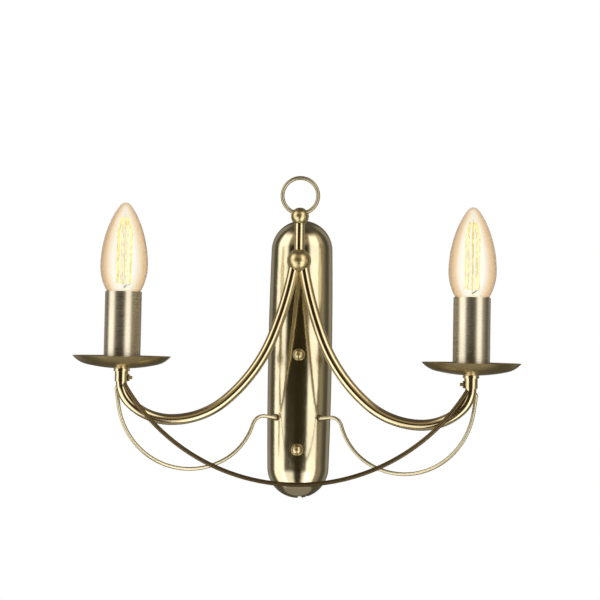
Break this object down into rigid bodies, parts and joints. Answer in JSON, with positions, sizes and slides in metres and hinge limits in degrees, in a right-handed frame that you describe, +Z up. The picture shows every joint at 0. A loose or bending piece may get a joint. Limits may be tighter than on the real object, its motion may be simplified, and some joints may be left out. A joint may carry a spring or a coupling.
{
  "type": "double arm wall sconce",
  "caption": "Wall sconce in aged brass: half-round backplate, hub with ring finial, bent arms, brace wires, and candle cups with drip pans and lit candle bulbs.",
  "frame": {"origin": "midway between the strap's two screw slots, on the wall plane", "axes": "+X right as seen from the room, +Y into the wall, +Z up"},
  "size_m": [0.3296, 0.1082, 0.2502],
  "materials": {
    "antique_brass": "aged brass, brushed and lacquered",
    "dark_brass_wire": "aged brass wire, darker and smoother",
    "satin_sleeve": "fine satin aged brass",
    "zinc_steel": "zinc plated",
    "holder_resin": "moulded thermoset",
    "contact_brass": "bright pressed brass",
    "terminal_resin": "natural nylon",
    "cap_nickel": "nickel plated",
    "cap_insulator": "black glass insulator with a tin contact",
    "bulb_glass": "softly tinted clear glass",
    "mount_glass": "clear glass",
    "support_wire": "molybdenum wire",
    "hot_filament": "lit tungsten wire",
    "cable_sheath": "flexible sheath",
    "earth_sheath": "green and yellow sheath"
  },
  "bodies": {
    "wall_light": {"backplate": "antique_brass", "bracket_studs": "zinc_steel", "cap_nuts": "antique_brass", "cross_rod": "dark_brass_wire", "earth_lead": "earth_sheath", "earth_screw": "contact_brass", "earth_tag": "contact_brass", "hub_ball": "antique_brass", "hub_nut": "zinc_steel", "hub_spacer": "antique_brass", "hub_stem": "zinc_steel", "hub_washer": "zinc_steel", "left_arm": "antique_brass", "left_candle_sleeve": "satin_sleeve", "left_contact_spring": "contact_brass", "left_cup_nipple": "zinc_steel", "left_drip_pan": "antique_brass", "left_ferrule": "antique_brass", "left_lamp_cable": "cable_sheath", "left_lampholder": "holder_resin", "left_pan_nut": "zinc_steel", "left_screw_shell": "contact_brass", "left_side_wire": "dark_brass_wire", "lock_nuts": "zinc_steel", "lock_screws": "zinc_steel", "mounting_bracket": "zinc_steel", "neck_stud": "zinc_steel", "neck_tube": "antique_brass", "right_arm": "antique_brass", "right_candle_sleeve": "satin_sleeve", "right_contact_spring": "contact_brass", "right_cup_nipple": "zinc_steel", "right_drip_pan": "antique_brass", "right_ferrule": "antique_brass", "right_lamp_cable": "cable_sheath", "right_lampholder": "holder_resin", "right_pan_nut": "zinc_steel", "right_screw_shell": "contact_brass", "right_side_wire": "dark_brass_wire", "stud_nuts": "zinc_steel", "terminal_block": "terminal_resin", "terminal_fixing": "zinc_steel", "terminal_screws": "contact_brass", "top_ball": "antique_brass", "top_ring": "antique_brass", "wire_push_nuts": "zinc_steel"},
    "left_lamp_foot": {"left_bulb_base": "cap_insulator"},
    "left_lamp": {"left_bulb_cap": "cap_nickel", "left_bulb_glass": "bulb_glass", "left_bulb_stem": "mount_glass", "left_bulb_supports": "support_wire", "left_bulb_filament": "hot_filament"},
    "right_lamp_foot": {"right_bulb_base": "cap_insulator"},
    "right_lamp": {"right_bulb_cap": "cap_nickel", "right_bulb_glass": "bulb_glass", "right_bulb_stem": "mount_glass", "right_bulb_supports": "support_wire", "right_bulb_filament": "hot_filament"}
  },
  "joints": [
    {"name": "left_lamp_lift", "type": "slide", "parent": "wall_light", "child": "left_lamp_foot", "axis": [0, 0, 1], "range_m": [0, 0.0115]},
    {"name": "left_lamp_turn", "type": "hinge", "parent": "left_lamp_foot", "child": "left_lamp", "pos_m": [-0.1286, -0.072, 0.06], "axis": [0, 0, 1], "range_deg": [0, 1440]},
    {"name": "right_lamp_lift", "type": "slide", "parent": "wall_light", "child": "right_lamp_foot", "axis": [0, 0, 1], "range_m": [0, 0.0115]},
    {"name": "right_lamp_turn", "type": "hinge", "parent": "right_lamp_foot", "child": "right_lamp", "pos_m": [0.1286, -0.072, 0.06], "axis": [0, 0, 1], "range_deg": [0, 1440]}
  ],
  "couplings": [
    {"joint": "left_lamp_lift", "follows": "left_lamp_turn", "m_per_rad": 0.00044882},
    {"joint": "right_lamp_lift", "follows": "right_lamp_turn", "m_per_rad": 0.00044882}
  ]
}
